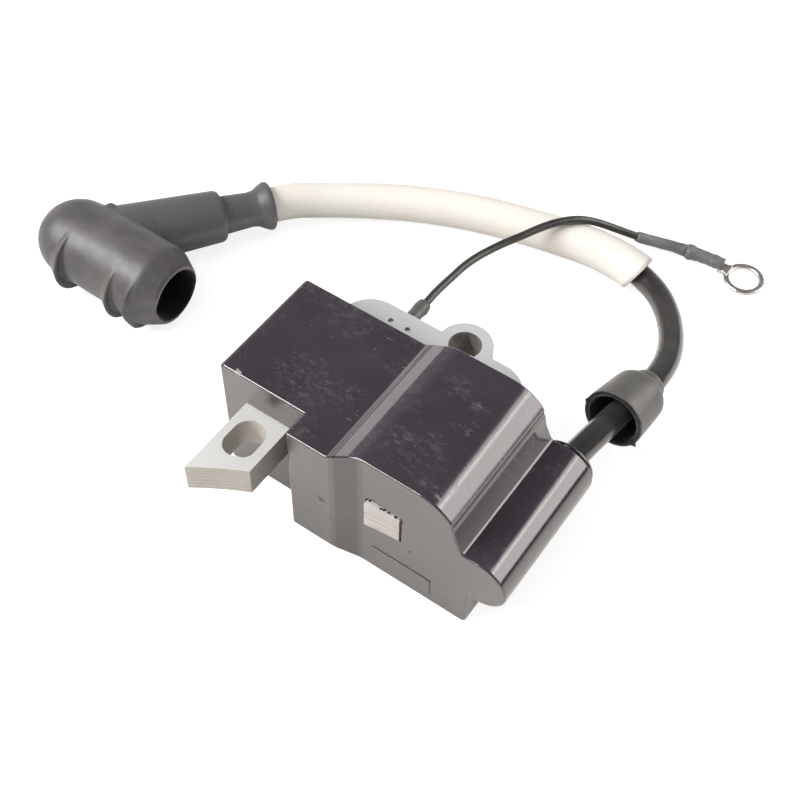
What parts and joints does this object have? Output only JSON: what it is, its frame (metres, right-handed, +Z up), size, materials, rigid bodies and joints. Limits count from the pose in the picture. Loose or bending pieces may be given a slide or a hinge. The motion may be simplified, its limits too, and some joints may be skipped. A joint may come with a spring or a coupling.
{
  "type": "ignition coil",
  "caption": "Potted ignition coil on a laminated U core, with a high-tension lead, angled plug boot, seal cup, heat sleeve and an earth wire with ring terminal.",
  "frame": {"origin": "bottom centre of the coil itself, without its lead and wire", "axes": "+X along the case towards the lead tower, +Y towards the core's yoke and the lead's exit, +Z up"},
  "size_m": [0.1275, 0.1197, 0.0315],
  "materials": {
    "case": "dark moulded plastic, glossy on top and matt on the sides",
    "potting": "hard potting resin",
    "core_steel": "pale electrical steel laminations",
    "bobbin": "moulded nylon",
    "copper": "enamelled copper wire",
    "board": "circuit board laminate",
    "capacitor": "dipped film capacitor",
    "component": "moulded epoxy",
    "resistor": "lacquered resistor body",
    "pins": "tinned pin",
    "contact": "brass",
    "grommet": "soft black rubber",
    "lead": "satin black lead jacket",
    "rubber": "charcoal moulded rubber",
    "heat_sleeve": "cream silicone sleeve",
    "spring": "spring steel",
    "shrink": "dusty shrink tube",
    "wire": "black wire insulation",
    "terminal": "tinned terminal"
  },
  "bodies": {
    "coil": {"case_shell": "case", "potting_seal": "potting", "core_laminations": "core_steel", "primary_bobbin": "bobbin", "primary_winding": "copper", "secondary_bobbin": "bobbin", "secondary_winding": "copper", "charge_bobbin": "bobbin", "charge_winding": "copper", "control_board": "board", "storage_capacitor": "capacitor", "scr_switch": "component", "diodes": "component", "resistors": "resistor", "board_pins": "pins", "ht_link_wire": "copper", "ht_contact_pin": "contact", "lead_grommet": "grommet", "ht_lead": "lead", "lead_conductor": "copper", "heat_sleeve": "heat_sleeve", "wire_exit_sleeve": "shrink", "earth_wire": "wire", "wire_shrink_sleeve": "shrink", "terminal_shrink_sleeve": "shrink", "ring_terminal": "terminal"},
    "cup": {"seal_cup": "rubber"},
    "boot": {"plug_boot": "rubber", "plug_contact": "contact", "plug_spring": "spring"}
  },
  "joints": [
    {"name": "cup_slide", "type": "slide", "parent": "coil", "child": "cup", "axis": [-0.0885, -0.9836, 0.1574], "range_m": [0, 0.0138]},
    {"name": "boot_swivel", "type": "hinge", "parent": "coil", "child": "boot", "pos_m": [-0.063, 0.0406, 0.0066], "axis": [0.5399, 0.8382, -0.0771], "range_deg": [-60, 60]}
  ]
}
